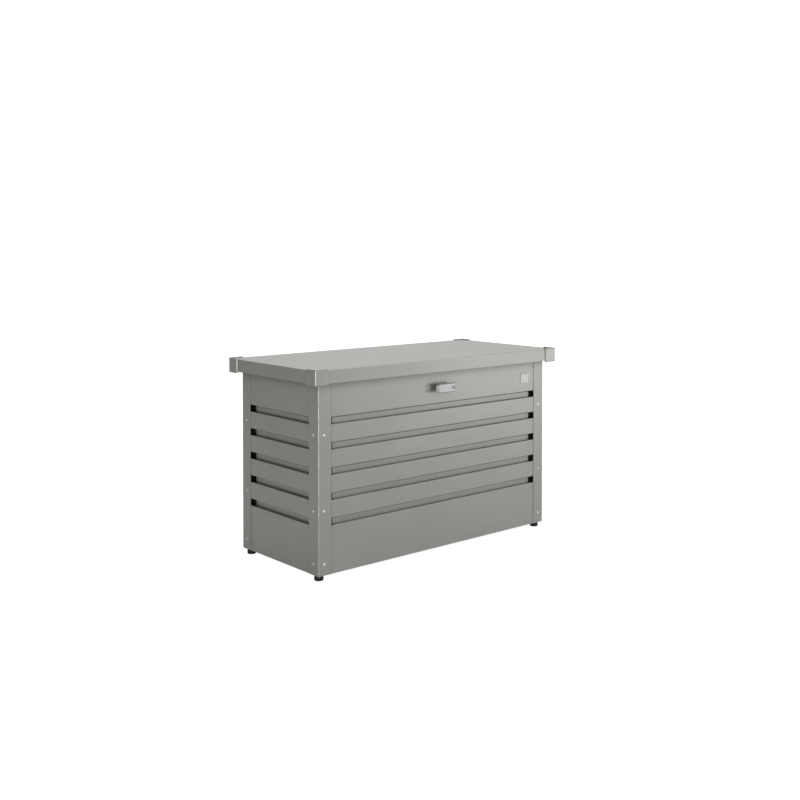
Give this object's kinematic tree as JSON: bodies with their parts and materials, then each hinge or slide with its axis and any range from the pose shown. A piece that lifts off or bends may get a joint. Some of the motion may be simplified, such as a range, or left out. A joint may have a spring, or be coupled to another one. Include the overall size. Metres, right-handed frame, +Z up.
{
  "type": "deck storage box",
  "caption": "Rectangular steel storage box with ribbed walls, corner posts, a hinged sheet-pan lid with corner caps and a lockable turn handle.",
  "frame": {"origin": "centre of the box's footprint, on the floor", "axes": "+Z up, +X along the box's length to the right seen from the front, front with the handle faces -Y"},
  "size_m": [1.006, 0.458, 0.6122],
  "materials": {
    "wall_paint": "satin metallic grey",
    "post_paint": "satin metallic grey",
    "lid_paint": "satin metallic grey",
    "cap_paint": "satin metallic grey",
    "rail_paint": "satin metallic grey",
    "galvanised": "dull galvanised",
    "zinc": "zinc plated",
    "satin_chrome": "satin",
    "lock_steel": "satin",
    "badge_metal": "satin",
    "foot_plastic": "matt black",
    "rubber": "matt black",
    "strut_black": "semi-gloss black",
    "strut_chrome": "polished"
  },
  "bodies": {
    "cabinet": {"badge_plate": "badge_metal", "base_rail_centre": "galvanised", "base_rail_left": "galvanised", "base_rail_right": "galvanised", "corner_post_front_left": "post_paint", "corner_post_front_right": "post_paint", "corner_post_rear_left": "post_paint", "corner_post_rear_right": "post_paint", "floor_tray": "galvanised", "foot_bolts": "zinc", "foot_front_left": "foot_plastic", "foot_front_right": "foot_plastic", "foot_nuts": "zinc", "foot_rear_left": "foot_plastic", "foot_rear_right": "foot_plastic", "front_panel": "wall_paint", "hinge_body_leaf_left": "zinc", "hinge_body_leaf_right": "zinc", "hinge_body_rivets": "zinc", "hinge_pin_left": "zinc", "hinge_pin_right": "zinc", "left_panel": "wall_paint", "lock_escutcheon": "satin_chrome", "lock_nut": "zinc", "post_nuts": "zinc", "post_screws": "zinc", "rear_panel": "wall_paint", "right_panel": "wall_paint", "rim_buffers": "rubber", "rim_front": "rail_paint", "rim_left": "rail_paint", "rim_rear": "rail_paint", "rim_right": "rail_paint", "strut_body_bracket_left": "zinc", "strut_body_bracket_right": "zinc", "vent_baffles": "foot_plastic"},
    "lid": {"lid_skin": "lid_paint", "lid_rib_left": "lid_paint", "lid_rib_right": "lid_paint", "hinge_lid_leaf_left": "zinc", "hinge_lid_leaf_right": "zinc", "hinge_lid_rivets": "zinc", "strut_lid_bracket_left": "zinc", "strut_lid_bracket_right": "zinc", "lock_keeper": "zinc", "lid_cap_front_left": "cap_paint", "lid_cap_front_right": "cap_paint", "lid_cap_rear_left": "cap_paint", "lid_cap_rear_right": "cap_paint"},
    "handle": {"lock_handle": "satin_chrome", "lock_spindle": "zinc", "lock_cam": "zinc", "cam_screw": "zinc"},
    "key": {"key_cylinder": "lock_steel"},
    "strut_tube_left": {"strut_cylinder_left": "strut_black"},
    "strut_tube_right": {"strut_cylinder_right": "strut_black"},
    "strut_rod_left": {"strut_rod_left": "strut_chrome"},
    "strut_rod_right": {"strut_rod_right": "strut_chrome"}
  },
  "joints": [
    {"name": "lid_hinge", "type": "hinge", "parent": "cabinet", "child": "lid", "pos_m": [0, 0.212, 0.575], "axis": [-1, 0, 0], "range_deg": [0, 85], "stiffness_Nm_per_rad": 5, "springref_deg": 88.81},
    {"name": "handle_turn", "type": "hinge", "parent": "cabinet", "child": "handle", "pos_m": [0.0045, -0.2, 0.518], "axis": [0, 1, 0], "range_deg": [0, 90]},
    {"name": "key_turn", "type": "hinge", "parent": "handle", "child": "key", "pos_m": [0.0295, -0.222, 0.518], "axis": [0, 1, 0], "range_deg": [0, 90]},
    {"name": "strut_swing_left", "type": "hinge", "parent": "cabinet", "child": "strut_tube_left", "pos_m": [-0.445, -0.11, 0.4218], "axis": [-1, 0, 0], "range_deg": [-0.716, 0.05]},
    {"name": "strut_slide_left", "type": "slide", "parent": "strut_tube_left", "child": "strut_rod_left", "axis": [0, 0.8426, 0.5386], "range_m": [0, 0.0858]},
    {"name": "strut_swing_right", "type": "hinge", "parent": "cabinet", "child": "strut_tube_right", "pos_m": [0.445, -0.11, 0.4218], "axis": [-1, 0, 0], "range_deg": [-0.716, 0.05]},
    {"name": "strut_slide_right", "type": "slide", "parent": "strut_tube_right", "child": "strut_rod_right", "axis": [0, 0.8426, 0.5386], "range_m": [0, 0.0858]}
  ],
  "couplings": [
    {"joint": "strut_swing_left", "follows": "lid_hinge", "ratio": -0.0078411},
    {"joint": "strut_slide_left", "follows": "lid_hinge", "m_per_rad": 0.057632},
    {"joint": "strut_swing_right", "follows": "lid_hinge", "ratio": -0.0078411},
    {"joint": "strut_slide_right", "follows": "lid_hinge", "m_per_rad": 0.057632}
  ]
}
